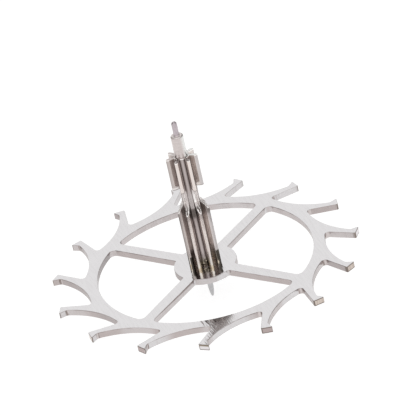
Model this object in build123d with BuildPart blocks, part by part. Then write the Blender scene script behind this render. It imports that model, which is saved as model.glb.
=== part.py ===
from build123d import *

import os
from math import asin, cos, degrees, radians, sin

# Escape wheel of a lever watch: a club-tooth wheel riveted on its pinion, which is one piece of
# steel with the arbor and both pivots. Millimetres and degrees.
# The arbor's axis is Z, with the upper pivot on +Z. The origin is the middle of the lower
# pivot's seat, the shoulder that faces the lower jewel. +X runs along the first spoke.

# The wheel: rim, hub and spokes
wheel_thickness = 0.12
wheel_height = 0.245            # from the lower pivot's seat to the wheel's underside
locking_radius = 2.72           # from the axis to the corner that locks on the pallet stone
rim_width = 0.245               # from the window's edge to the root of a tooth
hub_radius = 0.57
spoke_count = 4
spoke_hub_width = 0.24
spoke_rim_width = 0.205
window_rim_fillet = 0.10
window_hub_fillet = 0.035

# The wheel's teeth
tooth_count = 15
first_tooth_angle = 11.5        # the first locking corner, turned from the first spoke
impulse_lift = 0.08             # how much further out the heel lies than the locking corner
impulse_angle = 4.05            # the turn from the locking corner to the heel
draw_angle = 24.5               # the locking face's lean from the radius
locking_face_length = 0.58      # to the sharp corner under the root's fillet
root_fillet = 0.064
foot_back_length = 0.153        # from the heel to the sharp corner behind the foot
foot_back_angle = 8.85
foot_fillet = 0.08
relief_radius = 1.452           # the hollow back of a tooth, down to the next tooth's root

# The pinion's leaves, cut to the usual proportions of a watch pinion
leaf_count = 7
first_leaf_angle = 23.9
leaf_module = 0.0665
addendum_share = 0.855
dedendum_share = 1.5
leaf_thickness_share = 1.0
leaf_land_depth = 0.004         # how much of the pointed leaf the turned outside takes off
leaf_root_fillet = 0.022

# Lengths along the arbor, and its turned radii
pivot_radius = 0.05
arbor_radius = 0.113
arbor_edge = 0.018
lower_pivot_length = 0.345
lower_taper_length = 0.21
nose_radius = 0.015
nose_fillet = 0.012
lower_leaf_length = 1.137       # from the wheel's top to the foot of the cone
cone_height = 0.195             # to the sharp corner under the cone's fillet
cone_fillet = 0.19
neck_length = 0.284             # from that corner to the upper leaves
neck_ridge = 0.027              # how far the turned-down leaves stand out of their roots
upper_leaf_length = 0.628
upper_arbor_length = 0.422
upper_pivot_length = 0.277

# The seat in the wheel's hub, and the rivet spread over its underside
seat_wall = 0.05                # how far the seat stands out of the leaves' roots
rivet_spread = 0.035
rivet_depth = 0.035
rivet_proud = 0.012
rivet_groove_width = 0.03
rivet_groove_depth = 0.045

overrun = 0.2                   # how far a cutting shape passes what it cuts

# Worked out from the sizes above
heel_radius = locking_radius + impulse_lift
wheel_top = wheel_height + wheel_thickness
pitch_radius = leaf_module * leaf_count / 2
leaf_tip_radius = pitch_radius + addendum_share * leaf_module
leaf_root_radius = pitch_radius - dedendum_share * leaf_module
leaf_thickness = leaf_thickness_share * leaf_module
neck_radius = leaf_root_radius + neck_ridge
seat_radius = leaf_root_radius + seat_wall
rivet_radius = seat_radius + rivet_spread
cone_base = wheel_top + lower_leaf_length
neck_base = cone_base + cone_height
upper_leaf_base = neck_base + neck_length
upper_leaf_top = upper_leaf_base + upper_leaf_length
upper_seat = upper_leaf_top + upper_arbor_length
upper_tip = upper_seat + upper_pivot_length


def polar(radius, angle):
    return Vector(radius * cos(radians(angle)), radius * sin(radians(angle)))


def from_axis(shape):
    return Vector(shape.X, shape.Y).length


def tooth_corners(angle):
    # The four sharp corners of one tooth, from its root round the foot to its back
    locking_corner = polar(locking_radius, angle)
    root = locking_corner - polar(locking_face_length, angle - draw_angle)
    heel = polar(heel_radius, angle + impulse_angle)
    back = heel - polar(foot_back_length, angle + impulse_angle + foot_back_angle)
    return root, locking_corner, heel, back


tooth_angles = [first_tooth_angle + 360 * tooth / tooth_count for tooth in range(tooth_count)]
teeth = [tooth_corners(angle) for angle in tooth_angles]
rim_inner_radius = teeth[0][0].length - rim_width

# Escape wheel: teeth round the rim, four windows, and the hub's hole with its countersink
with BuildPart() as escape_wheel:
    with BuildSketch(Plane.XY.offset(wheel_height)) as wheel_outline:
        with BuildLine():
            for tooth, next_tooth in zip(teeth, teeth[1:] + teeth[:1]):
                root, locking_corner, heel, back = tooth
                Line(root, locking_corner)
                Line(locking_corner, heel)
                Line(heel, back)
                RadiusArc(back, next_tooth[0], relief_radius)
        make_face()
        fillet(wheel_outline.vertices().group_by(from_axis)[1], foot_fillet)
        fillet(wheel_outline.vertices().group_by(from_axis)[0], root_fillet)
    extrude(amount=wheel_thickness)

    with BuildSketch(Plane.XY.offset(wheel_height)) as windows:
        Circle(rim_inner_radius)
        Circle(hub_radius, mode=Mode.SUBTRACT)
        with PolarLocations(0, spoke_count):
            Polygon(
                (0, -spoke_hub_width / 2),
                (rim_inner_radius + overrun, -spoke_rim_width / 2),
                (rim_inner_radius + overrun, spoke_rim_width / 2),
                (0, spoke_hub_width / 2),
                align=None,
                mode=Mode.SUBTRACT,
            )
        fillet(windows.vertices().group_by(from_axis)[-1], window_rim_fillet)
        fillet(windows.vertices().group_by(from_axis)[0], window_hub_fillet)
    extrude(amount=wheel_thickness, mode=Mode.SUBTRACT)

    with BuildSketch(Plane.XY.offset(wheel_height)):
        Circle(seat_radius)
    extrude(amount=wheel_thickness, mode=Mode.SUBTRACT)
    with Locations((0, 0, wheel_height)):
        Cone(
            rivet_radius,
            seat_radius,
            rivet_depth,
            align=(Align.CENTER, Align.CENTER, Align.MIN),
            mode=Mode.SUBTRACT,
        )

# Escape pinion: the arbor turned from tip to tip, then the leaves cut through it
with BuildPart() as escape_pinion:
    with BuildSketch(Plane.XZ) as turned_profile:
        with BuildLine():
            taper_start = lower_taper_length - lower_pivot_length
            nose_corner = (nose_radius, -lower_pivot_length)
            TangentArc((pivot_radius, taper_start), nose_corner, tangent=(0, -1))
            rivet_end = wheel_height - rivet_proud
            groove_base = rivet_end + rivet_groove_depth
            groove_radius = arbor_radius + rivet_groove_width
            Polyline(
                (pivot_radius, taper_start),
                (pivot_radius, 0),
                (arbor_radius - arbor_edge, 0),
                (arbor_radius, arbor_edge),
                (arbor_radius, groove_base),
                (groove_radius, rivet_end),
                (rivet_radius, rivet_end),
                (rivet_radius, wheel_height),
                (seat_radius, wheel_height + rivet_depth),
                (seat_radius, wheel_top),
                (leaf_tip_radius, wheel_top),
                (leaf_tip_radius, cone_base),
                (neck_radius, neck_base),
                (neck_radius, upper_leaf_base),
                (leaf_tip_radius, upper_leaf_base),
                (leaf_tip_radius, upper_leaf_top),
                (arbor_radius, upper_leaf_top),
                (arbor_radius, upper_seat - arbor_edge),
                (arbor_radius - arbor_edge, upper_seat),
                (pivot_radius, upper_seat),
                (pivot_radius, upper_tip - pivot_radius),
            )
            TangentArc((pivot_radius, upper_tip - pivot_radius), (0, upper_tip), tangent=(0, 1))
            Polyline((0, upper_tip), (0, -lower_pivot_length), nose_corner)
        make_face()
        fillet(turned_profile.vertices().sort_by_distance(nose_corner)[0], nose_fillet)
        fillet(turned_profile.vertices().sort_by_distance((neck_radius, neck_base))[0], cone_fillet)
    revolve(axis=Axis.Z)

    half_leaf_angle = degrees(asin(leaf_thickness / 2 / pitch_radius))
    lower_pitch_point = polar(pitch_radius, -half_leaf_angle)
    upper_pitch_point = polar(pitch_radius, half_leaf_angle)
    leaf_point = (leaf_tip_radius + leaf_land_depth, 0)
    with BuildSketch(mode=Mode.PRIVATE) as leaf:
        with BuildLine():
            Line((0, 0), lower_pitch_point)
            TangentArc(lower_pitch_point, leaf_point, tangent=lower_pitch_point)
            TangentArc(upper_pitch_point, leaf_point, tangent=upper_pitch_point)
            Line(upper_pitch_point, (0, 0))
        make_face()
    with BuildSketch(Plane.XY.offset(wheel_top)) as gullets:
        Circle(leaf_tip_radius + overrun)
        Circle(leaf_root_radius, mode=Mode.SUBTRACT)
        with PolarLocations(0, leaf_count, start_angle=first_leaf_angle):
            add(leaf.sketch, mode=Mode.SUBTRACT)
        fillet(gullets.vertices().group_by(from_axis)[0], leaf_root_fillet)
    extrude(amount=upper_leaf_top - wheel_top + overrun, mode=Mode.SUBTRACT)

pieces = {"escape_wheel": escape_wheel, "escape_pinion": escape_pinion}
os.makedirs("parts", exist_ok=True)
for name, piece in pieces.items():
    piece.part.label = name
    export_step(piece.part, f"parts/{name}.step")
print("across the heels", 2 * heel_radius, "arbor", upper_tip + lower_pivot_length)
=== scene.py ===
import bpy
import bmesh
from math import asin, atan2, cos, degrees, pi, radians, sin, sqrt
from types import SimpleNamespace
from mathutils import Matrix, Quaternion, Vector


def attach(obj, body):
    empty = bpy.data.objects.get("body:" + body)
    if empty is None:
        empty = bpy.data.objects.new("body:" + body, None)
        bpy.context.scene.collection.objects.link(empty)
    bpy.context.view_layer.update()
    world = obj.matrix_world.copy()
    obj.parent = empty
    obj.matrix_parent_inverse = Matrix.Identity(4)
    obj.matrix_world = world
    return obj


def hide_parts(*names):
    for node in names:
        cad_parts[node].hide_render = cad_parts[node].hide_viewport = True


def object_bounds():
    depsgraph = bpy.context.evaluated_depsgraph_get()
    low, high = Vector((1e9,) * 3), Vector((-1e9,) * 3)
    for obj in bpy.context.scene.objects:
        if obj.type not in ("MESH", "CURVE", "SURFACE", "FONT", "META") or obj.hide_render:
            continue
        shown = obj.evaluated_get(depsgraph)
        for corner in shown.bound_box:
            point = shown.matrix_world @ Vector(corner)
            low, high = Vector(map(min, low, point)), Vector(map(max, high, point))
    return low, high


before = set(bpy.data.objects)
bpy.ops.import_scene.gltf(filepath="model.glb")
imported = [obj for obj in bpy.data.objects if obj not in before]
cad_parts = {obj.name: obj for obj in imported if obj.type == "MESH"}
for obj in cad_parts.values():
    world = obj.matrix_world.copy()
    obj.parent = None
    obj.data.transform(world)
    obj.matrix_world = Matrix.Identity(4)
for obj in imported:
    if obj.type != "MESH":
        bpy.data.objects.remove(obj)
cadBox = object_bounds()
print("frame loaded:", sorted(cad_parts))

# Pieces are drawn in millimetres, about the arbor's axis, and made metres when they are finished
metresPerMm = 0.001
mergeGap = 0.0002  # mm, points closer than this are one
sharpAngle = 38  # degrees, an edge that turns more than this stays crisp
flatCosine = 0.99  # a face that looks this straight up or down is flat
flatWeight = 80  # how much more the flats' normals count than the rounded edges'


def polar(radius, angle):
    return Vector((radius * cos(radians(angle)), radius * sin(radians(angle)), 0))


def letGo():
    if bpy.context.object and bpy.context.object.mode != "OBJECT":
        bpy.ops.object.mode_set(mode="OBJECT")
    bpy.ops.object.select_all(action="DESELECT")


def pick(*objects):
    letGo()
    for obj in objects:
        obj.select_set(True)
    bpy.context.view_layer.objects.active = objects[0]


def edit(obj, kind="VERT"):
    pick(obj)
    bpy.ops.object.mode_set(mode="EDIT")
    bpy.ops.mesh.select_mode(type=kind)
    bpy.ops.mesh.select_all(action="DESELECT")
    return bmesh.from_edit_mesh(obj.data)


def selectAll():
    bpy.ops.mesh.select_all(action="SELECT")


def extrude(offset):
    bpy.ops.mesh.extrude_region_move(TRANSFORM_OT_translate={"value": offset})


def penDown(name, point):
    # a plane drawn together into the one point that an outline starts from
    letGo()
    bpy.ops.mesh.primitive_plane_add(size=1)
    outline = bpy.context.object
    outline.name = name
    bpy.ops.object.mode_set(mode="EDIT")
    bpy.ops.mesh.select_mode(type="VERT")
    selectAll()
    bpy.ops.mesh.merge(type="CENTER")
    bpy.ops.transform.translate(value=point)
    return outline


def penPoint():
    drawn = bmesh.from_edit_mesh(bpy.context.object.data)
    return next(v.co.copy() for v in drawn.verts if v.select)


def lineTo(point):
    extrude(point - penPoint())


def arcTo(point, centre, steps, axis=Vector((0, 0, 1))):
    start = penPoint() - centre
    turn = start.angle(point - centre)
    if start.cross(point - centre).dot(axis) > 0:
        turn = -turn  # a positive angle spins clockwise
    bpy.ops.mesh.spin(steps=steps, angle=turn, center=centre, axis=axis)
    drawn = bmesh.from_edit_mesh(bpy.context.object.data)
    end = next(v for v in drawn.verts if v.select)
    if (end.co - point).length > 10 * mergeGap:
        print("arc missed its end by", (end.co - point).length, "mm")
    end.co = point


def filletCentre(corner, along, side, radius, roundCentre, reach):
    # the point that lies radius to the side of a line, and reach from the middle of a round
    base = corner + side * radius
    offset = base - roundCentre
    near = offset.dot(along)
    depth = sqrt(near * near - offset.length_squared + reach * reach)
    return base + along * min(-near - depth, -near + depth, key=abs)


def squareTo(line, towards):
    # square to a line, on the side that another vector points to
    side = Vector((-line.y, line.x, 0))
    return side if side.dot(towards) > 0 else -side


def touching(roundCentre, radius, fillet):
    return roundCentre + (fillet - roundCentre).normalized() * radius


def copiesRound(obj, count):
    # the piece and its copies about the axis, each with its own mesh
    letGo()
    turned = [obj]
    for step in range(1, count):
        copy = obj.copy()
        copy.data = obj.data.copy()
        bpy.context.scene.collection.objects.link(copy)
        copy.rotation_euler[2] = 2 * pi * step / count
        turned.append(copy)
    pick(*turned)
    bpy.ops.object.transform_apply(location=False)
    return turned


def turnedBy(obj, angle):
    pick(obj)
    obj.rotation_euler[2] = radians(angle)
    bpy.ops.object.transform_apply(location=False)


def joined(name, objects):
    pick(*objects)
    bpy.ops.object.join()
    whole = bpy.context.object
    whole.name = whole.data.name = name
    return whole


def cleaned(obj):
    # doubles are merged, and the faces look outward
    edit(obj)
    selectAll()
    bpy.ops.mesh.remove_doubles(threshold=mergeGap)
    bpy.ops.mesh.normals_make_consistent(inside=False)
    bpy.ops.object.mode_set(mode="OBJECT")


def applied(obj, kind, **settings):
    pick(obj)
    modifier = obj.modifiers.new(kind.title(), kind)
    for name, value in settings.items():
        setattr(modifier, name, value)
    bpy.ops.object.modifier_apply(modifier=modifier.name)


def roundRim(obj, height, way, edge):
    # the flat that faces up (way 1) or down (way -1) is drawn in twice, which rounds its edge
    drawn = edit(obj, "FACE")
    for f in drawn.faces:
        level = abs(f.calc_center_median().z - height) < mergeGap
        f.select = level and f.normal.z * way > flatCosine
    bmesh.update_edit_mesh(obj.data)
    half = sin(pi / 4)
    for inward, outward in ((1 - half, half), (half, 1 - half)):
        bpy.ops.mesh.inset(
            thickness=inward * edge, depth=outward * edge, use_boundary=True, use_even_offset=True
        )


def finished(obj):
    # flats stay flat beside the rounded edges, and millimetres become metres
    cleaned(obj)
    pick(obj)
    bpy.ops.object.shade_smooth_by_angle(angle=radians(sharpAngle))
    applied(obj, "WEIGHTED_NORMAL", mode="FACE_AREA", weight=flatWeight, keep_sharp=True)
    obj.scale = (metresPerMm,) * 3
    pick(obj)
    bpy.ops.object.transform_apply(location=False)


def report(stage, obj):
    mesh = obj.data
    mesh.calc_loop_triangles()
    check = bmesh.new()
    check.from_mesh(mesh)
    openEdges = sum(1 for e in check.edges if len(e.link_faces) != 2)
    volume = check.calc_volume(signed=True)
    check.free()
    print(f"{stage}: {len(mesh.loop_triangles)} triangles, {openEdges} open edges, volume {volume:.3e}")


# Escape wheel: one tooth's outline, fifteen copies, four windows and the hole for the pinion
wheel = {
    "thickness": 0.12,  # all lengths in mm, all angles in degrees
    "underside": 0.245,  # height over the lower pivot's seat
    "teeth": 15,
    "firstTooth": 11.5,
    "lockingRadius": 2.72,
    "impulseLift": 0.08,
    "impulseAngle": 4.05,
    "drawAngle": 24.5,
    "lockingFace": 0.58,
    "rootFillet": 0.064,
    "footBack": 0.153,
    "footBackAngle": 8.85,
    "footFillet": 0.08,
    "reliefRadius": 1.452,
    "rimWidth": 0.245,
    "hubRadius": 0.57,
    "spokes": 4,
    "spokeAtHub": 0.24,
    "spokeAtRim": 0.205,
    "rimFillet": 0.10,
    "hubFillet": 0.035,
    "hole": 0.183,
    "countersink": 0.035,
    "cornerRound": 0.024,
    "edge": 0.008,  # the round on every edge
    "holeFacets": 72,
}
wheelTop = wheel["underside"] + wheel["thickness"]
toothPitch = 360 / wheel["teeth"]


def toothCorners(angle):
    locking = polar(wheel["lockingRadius"], angle)
    root = locking - polar(wheel["lockingFace"], angle - wheel["drawAngle"])
    heelAngle = angle + wheel["impulseAngle"]
    heel = polar(wheel["lockingRadius"] + wheel["impulseLift"], heelAngle)
    back = heel - polar(wheel["footBack"], heelAngle + wheel["footBackAngle"])
    return root, locking, heel, back


def makeTooth():
    root, locking, heel, back = toothCorners(wheel["firstTooth"])
    nextRoot, nextLocking = toothCorners(wheel["firstTooth"] + toothPitch)[:2]
    relief, footFillet, rootFillet = wheel["reliefRadius"], wheel["footFillet"], wheel["rootFillet"]
    # the middle of the hollow back, out in the gap between two teeth
    chord = nextRoot - back
    rise = sqrt(relief**2 - chord.length_squared / 4)
    hollow = (back + nextRoot) / 2 + squareTo(chord.normalized(), back) * rise
    down = (back - heel).normalized()
    side = squareTo(down, hollow - back)
    foot = filletCentre(back, down, side, footFillet, hollow, relief - footFillet)
    up = (nextLocking - nextRoot).normalized()
    inGap = squareTo(up, back - nextRoot)
    rootRound = filletCentre(nextRoot, up, inGap, rootFillet, hollow, relief - rootFillet)
    rootEnd = rootRound - inGap * rootFillet
    rootStart = polar(rootEnd.length, degrees(atan2(rootEnd.y, rootEnd.x)) - toothPitch)

    tooth = penDown("tooth", rootStart)
    lineTo(locking)
    lineTo(heel)
    lineTo(foot - side * footFillet)
    arcTo(touching(hollow, relief, foot), foot, steps=8)
    arcTo(touching(hollow, relief, rootRound), hollow, steps=28)
    arcTo(rootEnd, rootRound, steps=12)
    # the foot's two sharp corners are rounded wider than the edges, so that the insets fit in them
    drawn = bmesh.from_edit_mesh(tooth.data)
    for v in drawn.verts:
        v.select = min((v.co - locking).length, (v.co - heel).length) < mergeGap
    drawn.select_flush_mode()
    bpy.ops.mesh.bevel(offset=wheel["cornerRound"], segments=3, affect="VERTICES")
    return tooth


def makeWindow(rimInner):
    # the window between the first spoke and the second, from the first spoke's side
    quarter = 360 / wheel["spokes"]
    hubRadius, hubFillet, rimFillet = wheel["hubRadius"], wheel["hubFillet"], wheel["rimFillet"]
    axis = Vector((0, 0, 0))
    atHub = Vector((0, wheel["spokeAtHub"] / 2, 0))
    atRim = Vector((rimInner, wheel["spokeAtRim"] / 2, 0))
    along = (atRim - atHub).normalized()
    side = Vector((-along.y, along.x, 0))
    byHub = filletCentre(atHub + along * hubRadius, along, side, hubFillet, axis, hubRadius + hubFillet)
    byRim = filletCentre(atRim, along, side, rimFillet, axis, rimInner - rimFillet)
    # the far side is the near side seen in a mirror along the window's middle
    middle = polar(1, quarter / 2)

    def across(point):
        return middle * (2 * point.dot(middle)) - point

    spokeStart, spokeEnd = byHub - side * hubFillet, byRim - side * rimFillet
    onRim, onHub = touching(axis, rimInner, byRim), touching(axis, hubRadius, byHub)
    window = penDown("window", spokeStart)
    lineTo(spokeEnd)
    arcTo(onRim, byRim, steps=10)
    arcTo(across(onRim), axis, steps=44)
    arcTo(across(spokeEnd), across(byRim), steps=10)
    lineTo(across(spokeStart))
    arcTo(across(onHub), across(byHub), steps=6)
    arcTo(onHub, axis, steps=20)
    arcTo(spokeStart, byHub, steps=6)
    return window


def makeWheel():
    teeth = joined("teeth", copiesRound(makeTooth(), wheel["teeth"]))
    rimInner = toothCorners(0)[0].length - wheel["rimWidth"]
    windows = joined("windows", copiesRound(makeWindow(rimInner), wheel["spokes"]))
    bpy.ops.mesh.primitive_circle_add(vertices=wheel["holeFacets"], radius=wheel["hole"])
    outline = joined("escape_wheel_steel", [teeth, windows, bpy.context.object])
    cleaned(outline)
    edit(outline, "EDGE")
    selectAll()
    bpy.ops.mesh.fill(use_beauty=True)
    bpy.ops.mesh.select_mode(type="FACE")
    selectAll()
    bpy.ops.mesh.dissolve_limited(angle_limit=radians(1), use_dissolve_boundaries=False)
    selectAll()
    low, high = wheel["underside"] + wheel["edge"], wheelTop - wheel["edge"]
    bpy.ops.transform.translate(value=(0, 0, low))
    extrude((0, 0, high - low))
    cleaned(outline)
    roundRim(outline, high, 1, wheel["edge"])
    roundRim(outline, low, -1, wheel["edge"])

    # the hole opens out under the wheel, where the rivet fills it
    drawn = edit(outline, "VERT")
    for v in drawn.verts:
        v.select = v.co.z < low + mergeGap and v.co.xy.length < wheel["hole"] + 2 * wheel["edge"]
    drawn.select_flush_mode()
    wide = (wheel["hole"] + wheel["countersink"]) / wheel["hole"]
    bpy.ops.transform.resize(value=(wide, wide, 1), center_override=(0, 0, 0))
    finished(outline)
    return outline


wheelPiece = makeWheel()
report("escape wheel", wheelPiece)


# Escape pinion: the arbor turned from tip to tip, then the gaps between seven leaves cut through it
pinion = {
    "leaves": 7,  # all lengths in mm, all angles in degrees
    "firstLeaf": 23.9,
    "module": 0.0665,
    "addendum": 0.855,  # in modules
    "dedendum": 1.5,
    "leafThickness": 1.0,
    "land": 0.004,  # what the turned outside takes off the pointed leaf
    "rootFillet": 0.022,
    "pivot": 0.05,
    "pivotFillet": 0.012,
    "arbor": 0.113,
    "arborEdge": 0.018,
    "lowerPivot": 0.345,
    "lowerTaper": 0.21,
    "nose": 0.015,
    "lowerLeaves": 1.137,
    "cone": 0.195,
    "coneFillet": 0.19,
    "neck": 0.284,
    "neckRidge": 0.027,
    "upperLeaves": 0.628,
    "upperArbor": 0.422,
    "upperPivot": 0.277,
    "seatWall": 0.05,
    "rivetSpread": 0.035,
    "rivetDepth": 0.035,
    "rivetProud": 0.012,
    "grooveWidth": 0.03,
    "grooveDepth": 0.045,
    "overrun": 0.2,
    "edge": 0.004,
    "facetsPerLeaf": 16,
}
pitchRadius = pinion["module"] * pinion["leaves"] / 2
tipRadius = pitchRadius + pinion["addendum"] * pinion["module"]
rootRadius = pitchRadius - pinion["dedendum"] * pinion["module"]
halfLeaf = asin(pinion["leafThickness"] * pinion["module"] / 2 / pitchRadius)  # radians
coneFoot = wheelTop + pinion["lowerLeaves"]
neckFoot = coneFoot + pinion["cone"]
upperLeafFoot = neckFoot + pinion["neck"]
upperLeafTop = upperLeafFoot + pinion["upperLeaves"]
upperSeat = upperLeafTop + pinion["upperArbor"]
upperTip = upperSeat + pinion["upperPivot"]
shoulderFoot = upperSeat - pinion["arborEdge"]


def makeTurned():
    # the arbor's outline beside the axis, from the upper tip down, then spun all the way round
    ahead = Vector((0, 1, 0))
    pivot, arbor, arborEdge = pinion["pivot"], pinion["arbor"], pinion["arborEdge"]
    fillet = pinion["pivotFillet"]
    neck = rootRadius + pinion["neckRidge"]
    seat = rootRadius + pinion["seatWall"]
    rivet = seat + pinion["rivetSpread"]

    def at(radius, height):
        return Vector((radius, 0, height))

    def linesTo(*corners):
        for radius, height in corners:
            lineTo(at(radius, height))

    turned = penDown("turned", at(0, upperTip))
    arcTo(at(pivot, upperTip - pivot), at(0, upperTip - pivot), steps=10, axis=ahead)
    lineTo(at(pivot, upperSeat + fillet))
    arcTo(at(pivot + fillet, upperSeat), at(pivot + fillet, upperSeat + fillet), steps=4, axis=ahead)
    linesTo(
        (arbor - arborEdge, upperSeat),
        (arbor, shoulderFoot),
        (arbor, upperLeafTop),
        (tipRadius, upperLeafTop),
        (tipRadius, upperLeafFoot),
        (neck, upperLeafFoot),
    )

    # the round where the neck runs out into the cone
    corner = at(neck, neckFoot)
    slope = (at(tipRadius, coneFoot) - corner).normalized()
    turn = slope.angle(Vector((0, 0, -1)))
    reach = pinion["coneFillet"] * sin(turn / 2) / cos(turn / 2)
    neckEnd = corner + Vector((0, 0, reach))
    middle = neckEnd + Vector((pinion["coneFillet"], 0, 0))
    lineTo(neckEnd)
    arcTo(corner + slope * reach, middle, steps=10, axis=ahead)
    underside = wheel["underside"]
    rivetEnd = underside - pinion["rivetProud"]
    linesTo(
        (tipRadius, coneFoot),
        (tipRadius, wheelTop),
        (seat, wheelTop),
        (seat, underside + pinion["rivetDepth"]),
        (rivet, underside),
        (rivet, rivetEnd),
        (arbor + pinion["grooveWidth"], rivetEnd),
        (arbor, rivetEnd + pinion["grooveDepth"]),
        (arbor, arborEdge),
        (arbor - arborEdge, 0),
        (pivot + fillet, 0),
    )
    arcTo(at(pivot, -fillet), at(pivot + fillet, -fillet), steps=4, axis=ahead)
    taperStart = at(pivot, pinion["lowerTaper"] - pinion["lowerPivot"])
    lineTo(taperStart)
    noseEnd = at(pinion["nose"], -pinion["lowerPivot"])
    drop = noseEnd - taperStart
    taperRadius = drop.length_squared / (2 * -drop.x)
    arcTo(noseEnd, taperStart - Vector((taperRadius, 0, 0)), steps=14, axis=ahead)
    lineTo(at(0, -pinion["lowerPivot"]))

    selectAll()
    steps = pinion["facetsPerLeaf"] * pinion["leaves"]
    bpy.ops.mesh.spin(steps=steps, angle=2 * pi, center=(0, 0, 0), axis=(0, 0, 1))
    cleaned(turned)
    turnedBy(turned, 180 / steps)  # so that each leaf's land is the middle of a facet
    return turned


def makeGullet():
    # the gap between two leaves, drawn about +X and pulled up through both stretches of leaves
    axis = Vector((0, 0, 0))
    halfPitch = 180 / pinion["leaves"]
    flankAngle = degrees(halfLeaf) - halfPitch
    flankOut = polar(1, flankAngle)
    toGap = Vector((-flankOut.y, flankOut.x, 0))
    onPitch = polar(pitchRadius, flankAngle)
    leafPoint = polar(tipRadius + pinion["land"], -halfPitch)
    rise = leafPoint - onPitch
    tipRound = onPitch - toGap * (rise.length_squared / (2 * -rise.dot(toGap)))
    fillet = filletCentre(
        polar(rootRadius, flankAngle), flankOut, toGap, pinion["rootFillet"],
        axis, rootRadius + pinion["rootFillet"],
    )
    rootStart = fillet - toGap * pinion["rootFillet"]
    rootEnd = touching(axis, rootRadius, fillet)
    outside = polar(tipRadius + pinion["overrun"], -halfPitch / 2)

    def across(point):
        return Vector((point.x, -point.y, 0))

    gullet = penDown("gullet", outside)
    lineTo(leafPoint)
    arcTo(onPitch, tipRound, steps=12)
    lineTo(rootStart)
    arcTo(rootEnd, fillet, steps=6)
    arcTo(across(rootEnd), axis, steps=6)
    arcTo(across(rootStart), across(fillet), steps=6)
    lineTo(across(onPitch))
    arcTo(across(leafPoint), across(tipRound), steps=12)
    lineTo(across(outside))
    selectAll()
    bpy.ops.mesh.edge_face_add()
    bpy.ops.transform.translate(value=(0, 0, wheelTop))
    extrude((0, 0, upperLeafTop + pinion["overrun"] - wheelTop))
    cleaned(gullet)
    return gullet


def makePinion():
    turned = makeTurned()
    for gullet in copiesRound(makeGullet(), pinion["leaves"]):
        applied(turned, "BOOLEAN", operation="DIFFERENCE", solver="EXACT", object=gullet)
        bpy.data.objects.remove(gullet)
    turnedBy(turned, pinion["firstLeaf"] + 180 / pinion["leaves"])
    turned.name = turned.data.name = "escape_pinion_steel"
    applied(
        turned, "BEVEL", width=pinion["edge"], segments=2, limit_method="ANGLE",
        angle_limit=radians(sharpAngle), use_clamp_overlap=False,
    )
    finished(turned)
    return turned


pinionPiece = makePinion()
report("escape pinion", pinionPiece)


# Node trees: a node's output as a value for sums and masks
def addNode(tree, kind, **settings):
    node = tree.nodes.new(kind)
    for name, value in settings.items():
        setattr(node, name, value)
    return node


def feed(socket, value):
    # links a node's output to the socket, or sets the socket's own number, vector or colour
    if isinstance(value, Value):
        value.tree.links.new(value.socket, socket)
    else:
        socket.default_value = value


def calc(operation, first, second=0.0, clamp=False):
    tree = first.tree if isinstance(first, Value) else second.tree
    node = addNode(tree, "ShaderNodeMath", operation=operation, use_clamp=clamp)
    feed(node.inputs[0], first)
    feed(node.inputs[1], second)
    return Value(tree, node.outputs[0])


class Value:
    # the sign | takes the larger of two values
    def __init__(self, tree, socket):
        self.tree = tree
        self.socket = socket

    def __add__(self, other):
        return calc("ADD", self, other)

    def __sub__(self, other):
        return calc("SUBTRACT", self, other)

    def __rsub__(self, other):
        return calc("SUBTRACT", other, self)

    def __mul__(self, other):
        return calc("MULTIPLY", self, other)

    def __truediv__(self, other):
        return calc("DIVIDE", self, other)

    def __or__(self, other):
        return calc("MAXIMUM", self, other)

    def ramp(self, low, high, outLow=0.0, outHigh=1.0):
        # a smooth rise from low to high, and a fall where low is the larger
        node = addNode(self.tree, "ShaderNodeMapRange", interpolation_type="SMOOTHSTEP")
        for socket, value in zip(node.inputs, (self, low, high, outLow, outHigh)):
            feed(socket, value)
        return Value(self.tree, node.outputs["Result"])

    def band(self, low, full, lastFull, high):
        # rises from low to full and falls again from lastFull to high
        return self.ramp(low, full) * self.ramp(high, lastFull)

    def between(self, atNone, atFull):
        # the mask's 0 and 1 become two other values
        return self.ramp(0.0, 1.0, atNone, atFull)


def vectorNode(operation, first, second=None, out="Vector"):
    node = addNode(first.tree, "ShaderNodeVectorMath", operation=operation)
    feed(node.inputs[0], first)
    if second is not None:
        feed(node.inputs[1], second)
    return Value(first.tree, node.outputs[out])


def dot(first, second):
    return vectorNode("DOT_PRODUCT", first, second, "Value")


def parts(position):
    split = addNode(position.tree, "ShaderNodeSeparateXYZ")
    feed(split.inputs[0], position)
    return [Value(position.tree, socket) for socket in split.outputs]


def combined(x, y, z=0.0):
    node = addNode(x.tree, "ShaderNodeCombineXYZ")
    for socket, value in zip(node.inputs, (x, y, z)):
        feed(socket, value)
    return Value(x.tree, node.outputs[0])


def mixed(mask, first, second):
    node = addNode(mask.tree, "ShaderNodeMix", data_type="RGBA")
    for name, value in (("Factor_Float", mask), ("A_Color", first), ("B_Color", second)):
        feed(next(i for i in node.inputs if i.identifier == name), value)
    return Value(mask.tree, next(o for o in node.outputs if o.identifier == "Result_Color"))


def noise(place, scale, detail, dimensions="3D"):
    texture = addNode(place.tree, "ShaderNodeTexNoise", noise_dimensions=dimensions)
    feed(texture.inputs["W" if dimensions == "1D" else "Vector"], place)
    feed(texture.inputs["Scale"], scale)
    feed(texture.inputs["Detail"], detail)
    return Value(place.tree, texture.outputs["Fac"])


# Node groups that both steels share
grain = {
    "lapLines": 24.0,  # how many to a millimetre
    "cutLines": 22.0,
    "leafLines": 50.0,
    "rings": 45.0,
    "clouds": 1.6,
    "stains": 4.0,
    "speckles": 26.0,
    "lapLength": 9.0,  # how many times longer than wide
    "cutSquash": 0.15,  # the cutter's marks stand upright, so they change slowly with height
    "usual": (0.3, 0.7),  # most of a noise's values lie between these
}


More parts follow.
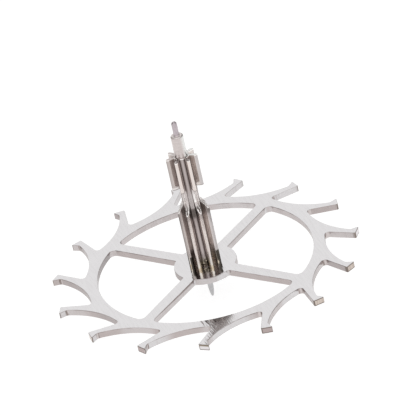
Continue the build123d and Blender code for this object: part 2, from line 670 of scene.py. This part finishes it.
def newGroup(name, inputs):
    # the group, and what it is given: a position, here in mm, and numbers with their usual values
    group = bpy.data.node_groups.new(name, "ShaderNodeTree")
    group.interface.new_socket("Position", in_out="INPUT", socket_type="NodeSocketVector")
    for socket, value in inputs.items():
        made = group.interface.new_socket(socket, in_out="INPUT", socket_type="NodeSocketFloat")
        made.default_value = value
    entry = group.nodes.new("NodeGroupInput")
    given = {name: Value(group, entry.outputs[name]) for name in ("Position", *inputs)}
    given["Position"] = vectorNode("MULTIPLY", given["Position"], (1 / metresPerMm,) * 3)
    return group, given


def putOut(group, **results):
    for name in results:
        group.interface.new_socket(name, in_out="OUTPUT", socket_type="NodeSocketFloat")
    end = group.nodes.new("NodeGroupOutput")
    for name, value in results.items():
        feed(end.inputs[name], value)
    return group


def makeStreaks():
    # fine lapping lines along one direction, and slow clouds over them
    group, given = newGroup("lapping streaks", {"Angle": 0.0})
    turn = addNode(group, "ShaderNodeVectorRotate", rotation_type="Z_AXIS")
    feed(turn.inputs["Vector"], given["Position"])
    feed(turn.inputs["Angle"], given["Angle"])
    along, across = parts(Value(group, turn.outputs[0]))[:2]
    return putOut(
        group,
        streaks=noise(combined(along / grain["lapLength"], across), grain["lapLines"], 3.0),
        clouds=noise(given["Position"], grain["clouds"], 2.0),
    )


def makeCutMarks():
    # marks of the cutter square across a wall, stains, and how near the wall's two edges are
    usual = {"Lines": grain["cutLines"], "Low": 0.0, "High": 1.0, "Band": 0.02}
    group, given = newGroup("cut marks", usual)
    x, y, height = parts(given["Position"])
    fromTop = (given["High"] - height) / given["Band"]
    fromFoot = (height - given["Low"]) / given["Band"]
    return putOut(
        group,
        lines=noise(combined(x, y, height * grain["cutSquash"]), given["Lines"], 3.0),
        stains=noise(given["Position"], grain["stains"], 3.0),
        upperEdge=calc("SUBTRACT", 1.0, fromTop, clamp=True),
        lowerEdge=calc("SUBTRACT", 1.0, fromFoot, clamp=True),
    )


def makePlace():
    # where a point lies: out from the axis, how high, round from a leaf or a gap, and how far to a side
    group, given = newGroup("place about the arbor", {"Towards": 0.0})
    x, y, height = parts(given["Position"])
    radius = vectorNode("LENGTH", combined(x, y), out="Value")
    angle = calc("ARCTAN2", y, x)
    halfPitch = pi / pinion["leaves"]
    fromLeaf = calc("PINGPONG", angle - radians(pinion["firstLeaf"]), halfPitch)
    return putOut(
        group,
        radius=radius,
        height=height,
        fromLeaf=fromLeaf * radius,
        fromGap=(halfPitch - fromLeaf) * radius,
        side=calc("COSINE", angle - given["Towards"]),
    )


def makeTurningMarks():
    # the rings that a graver leaves round the arbor, and speckles
    group, given = newGroup("turning marks", {})
    height = parts(given["Position"])[2]
    return putOut(
        group,
        rings=noise(height, grain["rings"], 4.0, "1D"),
        speckles=noise(given["Position"], grain["speckles"], 2.0),
    )


lappingStreaks = makeStreaks()
cutMarks = makeCutMarks()
aboutArbor = makePlace()
turningMarks = makeTurningMarks()


class Steel:
    # a metal whose tint is built up in layers, and at holds what they go by
    def __init__(self, name, look, firstColour):
        self.material = bpy.data.materials.new(name)
        self.material.use_nodes = True
        self.tree = self.material.node_tree
        self.shader = self.tree.nodes["Principled BSDF"]
        self.give("Metallic", 1.0)
        place = addNode(self.tree, "ShaderNodeTexCoord")
        self.position = Value(self.tree, place.outputs["Object"])
        self.normal = Value(self.tree, place.outputs["Normal"])
        self.look = look
        self.tint = (*look[firstColour], 1)
        self.at = SimpleNamespace()

    def give(self, name, value):
        feed(self.shader.inputs[name], value)

    def measure(self, group, **values):
        # adds what a group puts out, with some of its numbers set
        node = addNode(self.tree, "ShaderNodeGroup", node_tree=group)
        for name, value in {"Position": self.position, **values}.items():
            feed(node.inputs[name], value)
        for out in node.outputs:
            setattr(self.at, out.name, Value(self.tree, out))
        return self.at

    def facing(self, azimuth, low, full):
        # a mask over the walls that look to one side
        return dot(self.normal, polar(1, azimuth)).ramp(low, full)

    def mask(self, name, *places):
        # a mask that is there already, or a ramp (two places) or a band (four) of a value
        if name == "facing":
            return self.facing(*places)
        value = getattr(self.at, name)
        if not places:
            return value
        return value.ramp(*places) if len(places) == 2 else value.band(*places)

    def lay(self, layers):
        for colour, share, first, *others in layers:
            whole = self.mask(*first)
            for other in others:
                whole = whole * self.mask(*other)
            if share != 1:
                whole = whole * share
            self.tint = mixed(whole, self.tint, (*self.look[colour], 1))

    def bump(self, height, depth):
        bump = addNode(self.tree, "ShaderNodeBump")
        feed(bump.inputs["Distance"], self.look[depth] * metresPerMm)
        feed(bump.inputs["Height"], height)
        self.give("Normal", Value(self.tree, bump.outputs["Normal"]))

    def done(self, roughness):
        self.give("Base Color", self.tint)
        self.give("Roughness", roughness)
        return self.material


wheelLook = {
    "face": (0.735, 0.722, 0.728),
    "faceStreak": (0.70, 0.685, 0.692),
    "wallShade": (0.488, 0.434, 0.425),
    "wallLight": (0.648, 0.632, 0.637),
    "windowWallLight": (0.549, 0.502, 0.498),
    "rimShade": (0.33, 0.305, 0.305),
    "wallMark": (0.47, 0.41, 0.40),
    "wallEdgeShade": (0.22, 0.175, 0.165),
    "lockEnd": (0.19, 0.155, 0.135),
    "fillet": (0.60, 0.55, 0.54),
    "filletShade": (0.24, 0.195, 0.18),
    "impulse": (0.62, 0.545, 0.49),
    "impulseMark": (0.50, 0.43, 0.385),
    "impulseShade": (0.43, 0.36, 0.35),
    "impulsePale": (0.72, 0.69, 0.70),
    "impulseTopShade": (0.33, 0.285, 0.22),
    "footEdgeShade": (0.20, 0.165, 0.145),
    "frame": (0.15, 0.12, 0.105),
    "darkSpoke": -90.0,  # azimuth in degrees, the spoke whose wall has the darkest line
    "litRootsSide": 47.0,
    "lapAngle": 38.7,  # the face spreads its reflections square to this
    "lineTurn": 13.7,  # from that spread to the lines themselves
    "wallBand": 0.024,  # mm
    "frameBand": 0.03,
    "spokeBand": 0.05,
    "lapDepth": 0.002,
    "cutDepth": 0.00015,
    "windows": (1.88, 1.91, 1.99, 2.04),  # mm from the axis, where masks start and are full
    "teeth": (1.9, 2.1),
    "spokeTaper": (1.9, 0.45),
    "hubLight": 1.3,
    "lightSide": (-20.0, 0.92, 0.975),  # azimuth in degrees, and cosines
    "halfLitSide": (10.0, 0.55, 0.70),
    "hubLitSide": (-20.0, 0.3, 0.9),
    "palerLocks": (-75.0, 0.965, 0.99),
    "litLocks": (20.0, 0.95, 0.98),
    "lockLean": (-0.24, -0.34),  # cosines
    "farTeeth": (-0.8, -0.3),
    "faceStretch": 0.8,
    "faceRough": (0.05, 0.09),
    "wallRough": (0.14, 0.30),
    "impulseRough": (0.10, 0.2),
    "edgeRough": (0.2, 0.35),
}

# Each layer is a colour, its share, and the masks that it lies through. A mask says what it goes by, then
# where it starts and is full: radius and height in mm, edges and marks in shares, side in cosines to one
# side of the object, and facing as an azimuth and cosines to it. Later layers lie on top
wallLayers = (
    # painted light: the windows' walls are lighter, and walls that face the light side paler still
    ("windowWallLight", 1, ("atWindow",)),
    ("wallLight", 1, ("light",)),
    # walls that face far to the left are darker
    ("rimShade", 0.5, ("facing", -125.0, 0.78, 0.94), ("outside",)),
    ("rimShade", 1, ("atWindow",), ("facing", 25.0, 0.85, 0.97)),
    ("wallMark", 0.3, ("lines", 0.4, 0.7), ("stains", 0.4, 0.6)),
    # painted shade: a thin dark line runs along most of the upper edge
    ("wallEdgeShade", 1, ("upperEdge", 0.15, 0.75), ("broken",), ("nearTeeth",)),
    # and a painted shade line that tapers from the hub on a spoke's wall
    ("wallEdgeShade", 0.75, ("tapering", 0.12, 0.34), ("facing", 0.0, 0.97, 0.999), ("bySpoke",)),
    # a locking face is dark beside its corner
    ("lockEnd", 0.85, ("overLock", -0.06, -0.042), ("locking",), ("nearTeeth",)),
    # painted shade: a wall seen at a slant goes darker
    ("wallEdgeShade", 0.6, ("slant", 0.5, 0.95)),
)
impulseLayers = (
    ("impulseMark", 1, ("lines", 0.35, 0.65)),
    # painted light and shade: single teeth catch the light otherwise than the rest
    ("impulseShade", 1, ("facing", -56.8, 0.93, 0.97)),
    ("impulseShade", 1, ("facing", -104.8, 0.93, 0.97)),
    ("impulsePale", 1, ("facing", 15.2, 0.93, 0.97)),
    ("impulsePale", 1, ("facing", -80.8, 0.93, 0.97)),
    # painted shade along the upper edge of that tooth's face
    ("impulseTopShade", 1, ("facing", -80.8, 0.93, 0.97), ("wideEdge", 0.1, 0.3)),
    # painted shade: a dark line along both edges of each impulse face
    ("frame", 1, ("eitherEdge", 0.15, 0.65)),
)
# painted light: the roots on one side are paler
atLitRoots = (("side", 0.9, 0.96), ("radius", 2.5, 2.3))
footLayers = (("impulseMark", 1, ("lines", 0.5, 0.75)), ("impulseMark", 1, *atLitRoots))
filletLayers = (("fillet", 1, ("lines", 0.38, 0.6)), ("fillet", 1, *atLitRoots))


def makeFacePolish():
    steel = Steel("wheel face, lapped", wheelLook, "face")
    lapAngle = radians(wheelLook["lapAngle"])
    lineAngle = pi / 2 - lapAngle - radians(wheelLook["lineTurn"])
    at = steel.measure(lappingStreaks, Angle=lineAngle)
    steel.lay([("faceStreak", 1, ("streaks", 0.35, 0.75))])
    spread = addNode(
        steel.tree, "ShaderNodeVectorTransform",
        vector_type="VECTOR", convert_from="OBJECT", convert_to="WORLD",
    )
    feed(spread.inputs[0], (sin(lapAngle), -cos(lapAngle), 0))
    steel.give("Tangent", Value(steel.tree, spread.outputs[0]))
    steel.give("Anisotropic", wheelLook["faceStretch"])
    steel.bump(at.streaks, "lapDepth")
    return steel.done(at.clouds.ramp(*grain["usual"], *wheelLook["faceRough"]))


def measureEdges(steel, band):
    return steel.measure(cutMarks, Low=wheel["underside"], High=wheelTop, Band=wheelLook[band])


def makeWallCut():
    steel = Steel("wheel walls, milled", wheelLook, "wallShade")
    steel.measure(aboutArbor, Towards=radians(wheelLook["darkSpoke"]))
    at = measureEdges(steel, "spokeBand")
    at.tapering = at.upperEdge * at.radius.ramp(*wheelLook["spokeTaper"], outLow=0.25)
    measureEdges(steel, "wallBand")
    at.atWindow = at.radius.band(*wheelLook["windows"])
    at.outside = at.atWindow.between(1.0, 0.25)
    # the locking faces look back towards the axis
    lean = dot(vectorNode("NORMALIZE", steel.position), steel.normal)
    at.locking = lean.ramp(*wheelLook["lockLean"])
    at.overLock = at.radius - wheel["lockingRadius"]
    # walls that face the light side are paler, less so the windows' round edges
    light, halfLight, byHub, palerLocks, litLocks = (
        steel.facing(*wheelLook[name])
        for name in ("lightSide", "halfLitSide", "hubLitSide", "palerLocks", "litLocks")
    )
    byHub = byHub * at.radius.ramp(wheelLook["hubLight"], wheel["hubRadius"], outHigh=0.6)
    # and some of the locking faces catch a little of that light
    locks = palerLocks * 0.4 | at.locking * litLocks
    at.light = (light | halfLight.between(0.0, 0.5)) * at.outside | byHub | locks
    # the painted shade lines and the dark locking ends are fainter on the teeth that lie farthest from the
    # dark spoke
    onTeeth = at.side * at.radius.ramp(*wheelLook["teeth"])
    at.nearTeeth = onTeeth.ramp(*wheelLook["farTeeth"], outLow=0.15)
    at.broken = at.stains.ramp(0.38, 0.6, 0.1, 0.7)
    at.bySpoke = at.side.ramp(-0.5, 0.5, outLow=0.2)
    at.slant = Value(steel.tree, addNode(steel.tree, "ShaderNodeLayerWeight").outputs["Facing"])
    steel.lay(wallLayers)
    steel.bump(at.lines, "cutDepth")
    return steel.done(at.stains.ramp(*grain["usual"], *wheelLook["wallRough"]))


def makeImpulsePolish():
    steel = Steel("impulse faces, polished", wheelLook, "impulse")
    at = measureEdges(steel, "spokeBand")
    at.wideEdge = at.upperEdge
    measureEdges(steel, "frameBand")
    at.eitherEdge = at.upperEdge | at.lowerEdge
    steel.lay(impulseLayers)
    return steel.done(at.stains.ramp(*grain["usual"], *wheelLook["impulseRough"]))


def makeShadedRounds(name, firstColour, layers):
    # narrow rounds, painted dark as shade with paler cutter's marks over it, and painted light at the roots
    # on one side
    steel = Steel(name, wheelLook, firstColour)
    steel.measure(aboutArbor, Towards=radians(wheelLook["litRootsSide"]))
    at = measureEdges(steel, "frameBand")
    steel.lay(layers)
    return steel.done(at.stains.ramp(*grain["usual"], *wheelLook["edgeRough"]))


pinionLook = {
    "turned": (0.655, 0.595, 0.58),
    "turnedDark": (0.61, 0.55, 0.535),
    "turnedLight": (0.95, 0.92, 0.90),
    "arborLight": (0.80, 0.80, 0.785),
    "shoulder": (0.88, 0.83, 0.81),
    "upperPivot": (0.615, 0.555, 0.582),
    "lowerPivot": (0.52, 0.515, 0.52),
    "flank": (0.64, 0.58, 0.56),
    "flankDark": (0.36, 0.31, 0.295),
    "flankLight": (0.74, 0.68, 0.64),
    "flankShade": (0.37, 0.325, 0.31),
    "root": (0.45, 0.395, 0.385),
    "rootShade": (0.22, 0.185, 0.175),
    "neckGap": (0.47, 0.43, 0.42),
    "neckSideLight": (0.78, 0.73, 0.71),
    "coneGapShade": (0.16, 0.14, 0.13),
    "coneSideShade": (0.34, 0.305, 0.29),
    "tip": (0.74, 0.67, 0.635),
    "tipShadeLitSide": (0.55, 0.515, 0.51),
    "tipShade": (0.50, 0.45, 0.43),
    "tipShadeLine": (0.27, 0.235, 0.22),
    "burr": (0.96, 0.93, 0.91),
    "footGapShade": (0.11, 0.092, 0.07),
    "footSideLight": (0.74, 0.67, 0.62),
    "footTipHighlight": (0.96, 0.91, 0.83),
    "footPaintedGlint": (0.90, 0.80, 0.64),
    "footGoldGlint": (0.84, 0.69, 0.47),
    "darkReflection": (0.09, 0.08, 0.068),
    "paintedLightSide": 38.7,  # degrees, the side of the arbor and leaves that painted light makes palest
    "footHeight": 0.155,  # mm over the wheel
    "darkReflectionHeight": 0.22,
    "unevenness": (-0.03, 0.03),
    "neckStart": (0.02, 0.11),  # mm, where masks start and are full
    "neckEnd": 0.1,
    "burrStart": 0.02,
    "burrEnd": (0.03, 0.01),
    "coneEdge": (0.028, 0.018),
    "foot": (0.07, -0.05),
    "onLeaf": (0.04, 0.06),
    "tipRound": (0.025, 0.022),
    "burrWidth": 0.012,
    "burrShare": (0.45, 0.75),  # of half a leaf's end on the cone
    "burrUnevenness": (-0.35, 0.35),
    "brightEnds": (0.8, 0.93),  # cosines
    "burrRough": (0.25, 0.5),
    "shoulderDull": 0.22,
    "ringDepth": 0.0001,
    "arborRough": (0.26, 0.42),
    "leafRough": (0.12, 0.24),
}

# overCone and the like are mm up from a height or out from a radius, and fromGap mm round from its middle
turnedLayers = (
    ("turnedDark", 1, ("rings", 0.35, 0.7)),
    # painted light: the neck and the arbor are palest on one side; the pivots are greyer
    ("turnedLight", 1, ("inNeck",), ("side", -0.1, 0.35)),
    ("arborLight", 1, ("height", upperLeafFoot, upperLeafTop), ("side", 0.3, 0.85)),
    # painted highlight on the shoulder's chamfer
    ("shoulder", 1, ("height", shoulderFoot, upperSeat - pinion["arborEdge"] / 2)),
    ("upperPivot", 1, ("height", upperSeat, upperSeat + pinion["pivotFillet"])),
    ("lowerPivot", 1, ("height", wheel["underside"], 0.0)),
)
coneFootBand = ("overCone", -0.17, -0.08, 0.03, 0.09)
underConeBand = ("overCone", -0.14, -0.06, 0.02, 0.08)
leafLayers = (
    # the flanks' dark tone is painted shade between the leaves, streaked by the cutter's marks
    ("flank", 1, ("lines", *grain["usual"])),
    # painted light on the flanks towards the lit side, painted shade on the far side
    ("flankLight", 0.8, ("side", 0.6, 0.95)),
    ("flankShade", 0.8, ("side", -0.6, -0.95)),
    # painted shade: the fillets of the roots are dark on both sides of a painted highlight line
    ("rootShade", 1, ("overRoots", 0.03, 0.012)),
    ("root", 1, ("fromGap", 0.027, 0.013), ("overRoots", 0.01, 0.003)),
    # turning the neck down left its gaps shallow; they are painted pale, with painted light on the outer
    # gaps' sides, and the cone's gaps get painted shade
    ("neckGap", 1, ("inNeck",)),
    ("neckSideLight", 1, ("inNeck",), ("overRoots", 0.02, 0.008), ("eitherSide", 0.3, 0.6)),
    ("coneSideShade", 0.75, coneFootBand),
    ("coneGapShade", 1, coneFootBand, ("eitherSide", 0.65, 0.4)),
    # painted light: the tips are paler than the flanks, and painted shade darkens the tips towards either
    # side
    ("tip", 1, ("tip",)),
    ("tipShadeLitSide", 1, ("tip",), ("side", 0.7, 0.95)),
    ("tipShade", 1, ("tip",), ("side", -0.7, -0.95)),
    # painted shade: a dark line runs down the leaf that is farthest from the lit side
    ("tipShadeLine", 1, ("farLeaf",), ("overTips", -0.018, -0.006)),
    # painted shade on the tips under the cone, darker still on the lit side
    ("tipShade", 0.75, underConeBand, ("tip",)),
    ("coneGapShade", 0.7, underConeBand, ("tip",), ("side", 0.8, 0.92)),
    # painted highlight: the two outermost leaves have a bright edge along the cone
    ("burr", 1, ("coneEdge",)),
    # painted light on the foot's gaps, painted brown shade in the middle ones, and painted highlights make
    # its tips cream over gold
    ("footSideLight", 1, ("foot",), ("overPitch", 0.02, -0.02)),
    ("footGapShade", 1, ("foot",), ("overPitch", 0.02, -0.02), ("eitherSide", 0.65, 0.4)),
    ("footTipHighlight", 1, ("overFoot", 0.1, -0.05), ("tip",)),
    ("footGoldGlint", 0.8, ("roughlyOverWheel", 0.07, 0.03), ("tip",)),
    # painted dark reflection on the outermost tips, and painted glints speckled over the foot
    ("darkReflection", 1, ("foot",), ("tip",), ("side", 0.915, 0.93)),
    ("darkReflection", 1, ("overStain", 0.07, 0.03), ("farLeaf",), ("overTips", -0.014, -0.004)),
    ("footPaintedGlint", 1, ("foot",), ("speckles", 0.56, 0.64)),
    # painted dark reflection covers the two outer flanks up to an uneven line
    ("darkReflection", 1, ("roughlyOverStain", -0.01, -0.04), ("side", -0.8, -0.9),
     ("overPitch", -0.036, -0.02), ("overTips", -0.018, -0.03)),
    ("darkReflection", 1, ("roughlyOverWheel", 0.04, 0.07), ("roughlyOverStain", 0.04, 0.02),
     ("side", 0.9, 0.92), ("overPitch", 0.002, 0.014)),
    # painted highlights on the upper ends' edges, and on the upper leaves' lower ends a painted highlight
    # over a painted shade line
    ("burr", 1, ("overTop", -1.6 * pinionLook["burrWidth"], -0.8 * pinionLook["burrWidth"])),
    ("burr", 0.6, ("onLeaf",), ("overUpperFoot", 0.01, 0.02, 0.03, 0.06), ("side", -0.7, -0.95)),
    ("tipShadeLine", 1, ("onLeaf",), ("overUpperFoot", -0.01, -0.005, 0.008, 0.016)),
)


def pinionSteel(name, firstColour):
    steel = Steel(name, pinionLook, firstColour)
    steel.measure(turningMarks)
    return steel, steel.measure(aboutArbor, Towards=radians(pinionLook["paintedLightSide"]))


def makeTurnedSteel():
    steel, at = pinionSteel("arbor, turned and burnished", "turned")
    at.inNeck = at.height.band(coneFoot, neckFoot, neckFoot + pinionLook["neckEnd"], upperLeafFoot)
    steel.lay(turnedLayers)
    steel.bump(at.rings, "ringDepth")
    dullFoot = shoulderFoot - pinion["arborEdge"]
    dull = at.height.ramp(dullFoot, shoulderFoot, outHigh=pinionLook["shoulderDull"])
    return steel.done(at.speckles.ramp(*grain["usual"], *pinionLook["arborRough"]) + dull)


def makeConeSteel():
    # each leaf's end on the cone: painted shade, inside an uneven painted highlight
    steel, at = pinionSteel("cone, turned down", "turned")
    look = pinionLook
    leafAngle = at.radius.ramp(pitchRadius - 0.01, tipRadius, halfLeaf, halfLeaf / 4)
    uneven = at.speckles.ramp(*grain["usual"], *look["burrUnevenness"])
    at.leafShare = at.fromLeaf / (at.radius * leafAngle) + uneven
    at.overNeck = at.height - neckFoot
    lowEdge = (at.height - coneFoot).ramp(2 * look["burrWidth"], look["burrWidth"])
    # the two outermost ends are painted bright all over, as highlight
    ends = calc("ABSOLUTE", at.side).ramp(*look["brightEnds"])
    burr = at.leafShare.ramp(*look["burrShare"]) | lowEdge | ends
    at.burr = burr * at.overNeck.ramp(0.0, -0.06)
    steel.lay([("coneGapShade", 1, ("overNeck", -0.02, -0.10), ("leafShare", 0.7, 0.4)), ("burr", 1, ("burr",))])
    return steel.done(at.burr.between(*look["burrRough"]))


def makeLeafSteel():
    steel, at = pinionSteel("leaves, cut and polished", "flankDark")
    steel.measure(cutMarks, Lines=grain["leafLines"])
    look = pinionLook
    uneven = at.speckles.ramp(*grain["usual"], *look["unevenness"])
    at.eitherSide = calc("ABSOLUTE", at.side)
    at.overRoots = at.radius - rootRadius
    at.overPitch = at.radius - pitchRadius
    at.overTips = at.radius - tipRadius
    at.overCone = at.height - coneFoot
    at.overFoot = at.height - (wheelTop + look["footHeight"])
    at.overStain = at.height - (wheelTop + look["darkReflectionHeight"])
    at.overUpperFoot = at.height - upperLeafFoot
    at.overTop = at.height - upperLeafTop
    at.roughlyOverWheel = at.height - wheelTop + uneven
    at.roughlyOverStain = at.overStain + uneven
    at.foot = (at.overFoot + uneven).ramp(*look["foot"])
    neckEnd = at.height.ramp(upperLeafFoot, neckFoot + look["neckEnd"])
    at.inNeck = at.overCone.ramp(*look["neckStart"]) * neckEnd
    tipStart, tipFull = look["tipRound"]
    at.tip = at.radius.ramp(pitchRadius - tipStart, tipRadius - tipFull)
    at.onLeaf = at.overRoots.ramp(*look["onLeaf"])
    at.farLeaf = at.side.ramp(-0.7, -0.95) * at.height.ramp(neckFoot, coneFoot, outLow=0.4)
    burrEnd, burrPast = look["burrEnd"]
    onCone = at.height.band(coneFoot - look["burrStart"], coneFoot, neckFoot - burrEnd, neckFoot + burrPast)
    coneRadius = at.height.ramp(coneFoot, neckFoot, tipRadius, rootRadius + pinion["neckRidge"])
    onEdge = (coneRadius - at.radius).ramp(*look["coneEdge"])
    at.coneEdge = onEdge * at.eitherSide.ramp(0.8, 0.9) * onCone
    steel.lay(leafLayers)
    polish = at.stains.ramp(*grain["usual"], *look["leafRough"])
    return steel.done(polish | at.coneEdge.between(0.0, 0.6))


# Which steel each face gets
zones = {
    "flat": 0.9,  # cosines
    "upright": 0.1,
    "outward": 0.9,  # an impulse face and the edges beside it look away from the axis
    "halfOutward": 0.3,
    "footDepth": 0.02,  # mm under the locking corner
    "heelDepth": 0.03,
    "cornerTurn": 0.5,  # degrees beside the locking corner
    "stepWidth": 0.013,  # mm, rounds are drawn in steps this narrow
    "slack": 0.001,
    "overRoots": 0.01,
}


def wheelZone(face):
    if abs(face.normal.z) > zones["flat"]:
        return "face"
    spot = face.center.xy / metresPerMm
    outward = spot.normalized().dot(face.normal.xy)
    locking = wheel["lockingRadius"]
    atFoot = spot.length > locking - zones["footDepth"]
    if atFoot and outward > zones["outward"]:
        return "impulse"
    atHeel = spot.length > locking + wheel["impulseLift"] - zones["heelDepth"]
    if atFoot and (outward > zones["halfOutward"] or atHeel):
        return "foot"
    halfGap = toothPitch / 2
    fromLocking = (degrees(atan2(spot.y, spot.x)) - wheel["firstTooth"] + halfGap) % toothPitch - halfGap
    if abs(fromLocking) < zones["cornerTurn"] and spot.length > locking - wheel["cornerRound"]:
        return "foot"
    width = face.area / metresPerMm**2 / wheel["thickness"]
    narrow = width < zones["stepWidth"] and abs(face.normal.z) < zones["upright"]
    byHub = spot.length < wheel["hubRadius"] + 2 * wheel["hubFillet"]
    return "fillet" if narrow and not byHub else "wall"


def pinionZone(face):
    spot = face.center / metresPerMm
    low, high = wheelTop - zones["slack"], upperLeafTop + zones["slack"]
    if not low < spot.z < high or abs(face.normal.z) > zones["flat"]:
        return "arbor"
    # the neck and the cone were turned down after the leaves were cut
    turnedDown = coneFoot < spot.z < upperLeafFoot and spot.xy.length > rootRadius + zones["overRoots"]
    if turnedDown and spot.xy.normalized().dot(face.normal.xy.normalized()) > zones["outward"]:
        return "cone" if spot.z < neckFoot else "arbor"
    return "leaves"


def dress(obj, steels, zoneOf):
    for material in steels.values():
        obj.data.materials.append(material)
    names = list(steels)
    for face in obj.data.polygons:
        face.material_index = names.index(zoneOf(face))


wheelSteels = {
    "face": makeFacePolish(),
    "wall": makeWallCut(),
    "impulse": makeImpulsePolish(),
    "foot": makeShadedRounds("foot edges, painted shade", "footEdgeShade", footLayers),
    "fillet": makeShadedRounds("fillets, milled, painted shade", "filletShade", filletLayers),
}
pinionSteels = {"arbor": makeTurnedSteel(), "leaves": makeLeafSteel(), "cone": makeConeSteel()}
for piece, steels, zoneOf, node, slot in (
    (wheelPiece, wheelSteels, wheelZone, "escape_wheel", "wheel_steel"),
    (pinionPiece, pinionSteels, pinionZone, "escape_pinion", "pinion_steel"),
):
    dress(piece, steels, zoneOf)
    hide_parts(node)
    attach(piece, "root")
print("steels on both pieces")


# The studio: a white floor under the lower pivot, and white all round but for two dark sides
studio = {
    "floorSize": 400.0,  # mm
    "floorColour": (0.42, 0.42, 0.42, 1),
    "floorRough": 0.9,
    "floorGlow": 0.80,
    "white": (1, 1, 1, 1),
    "darkSide": (0.11, 0.097, 0.092, 1),
    "darkAzimuths": (-164.0, 62.0),  # the dark sides, left and right of the object
    "darkElevation": 26.0,
    "darkReach": (0.64, 0.87),  # cosines
}
cameraView = {
    "azimuth": -51.27,
    "elevation": 30.30,
    "roll": -12.72,
    "aim": (-0.948, 1.595, 0.365),  # mm, on the wheel's top
    "distance": 124.7,
    "lens": 598.5,
    "sensor": 36,
    "clip": (0.01, 1.0),  # metres
}


def towards(azimuth, elevation):
    return polar(cos(radians(elevation)), azimuth) + Vector((0, 0, sin(radians(elevation))))


def makeFloor():
    size = studio["floorSize"] * metresPerMm
    bpy.ops.mesh.primitive_plane_add(size=size, location=(0, 0, cadBox[0].z))
    floor = bpy.context.object
    floor.name = "floor"
    material = bpy.data.materials.new("floor, matt white")
    material.use_nodes = True
    tree = material.node_tree
    # the eye and the steel see the floor white, with a faint shadow
    path = addNode(tree, "ShaderNodeLightPath")
    seen = Value(tree, path.outputs["Is Camera Ray"]) | Value(tree, path.outputs["Is Glossy Ray"])
    for name, value in (
        ("Base Color", studio["floorColour"]),
        ("Roughness", studio["floorRough"]),
        ("Specular IOR Level", 0.0),
        ("Emission Color", studio["white"]),
        ("Emission Strength", seen * studio["floorGlow"]),
    ):
        feed(tree.nodes["Principled BSDF"].inputs[name], value)
    floor.data.materials.append(material)


def makeWorld():
    world = bpy.data.worlds.new("studio")
    bpy.context.scene.world = world
    world.use_nodes = True
    tree = world.node_tree
    direction = Value(tree, addNode(tree, "ShaderNodeTexCoord").outputs["Generated"])
    left, right = (
        dot(direction, towards(azimuth, studio["darkElevation"])).ramp(*studio["darkReach"])
        for azimuth in studio["darkAzimuths"]
    )
    # the camera sees white there too
    seen = Value(tree, addNode(tree, "ShaderNodeLightPath").outputs["Is Camera Ray"])
    colour = mixed((left | right) * (1.0 - seen), studio["white"], studio["darkSide"])
    feed(tree.nodes["Background"].inputs["Color"], colour)


def makeCamera():
    camera = bpy.data.objects.new("camera", bpy.data.cameras.new("camera"))
    bpy.context.scene.collection.objects.link(camera)
    back = towards(cameraView["azimuth"], cameraView["elevation"])
    camera.location = (Vector(cameraView["aim"]) + back * cameraView["distance"]) * metresPerMm
    camera.rotation_mode = "QUATERNION"
    lean = Quaternion((0, 0, 1), radians(cameraView["roll"]))
    camera.rotation_quaternion = back.to_track_quat("Z", "Y") @ lean
    camera.data.lens = cameraView["lens"]
    camera.data.sensor_width = cameraView["sensor"]
    camera.data.clip_start, camera.data.clip_end = cameraView["clip"]
    bpy.context.scene.camera = camera


makeFloor()
makeWorld()
makeCamera()
bpy.context.scene.view_settings.view_transform = "Standard"
print("studio and camera stand")
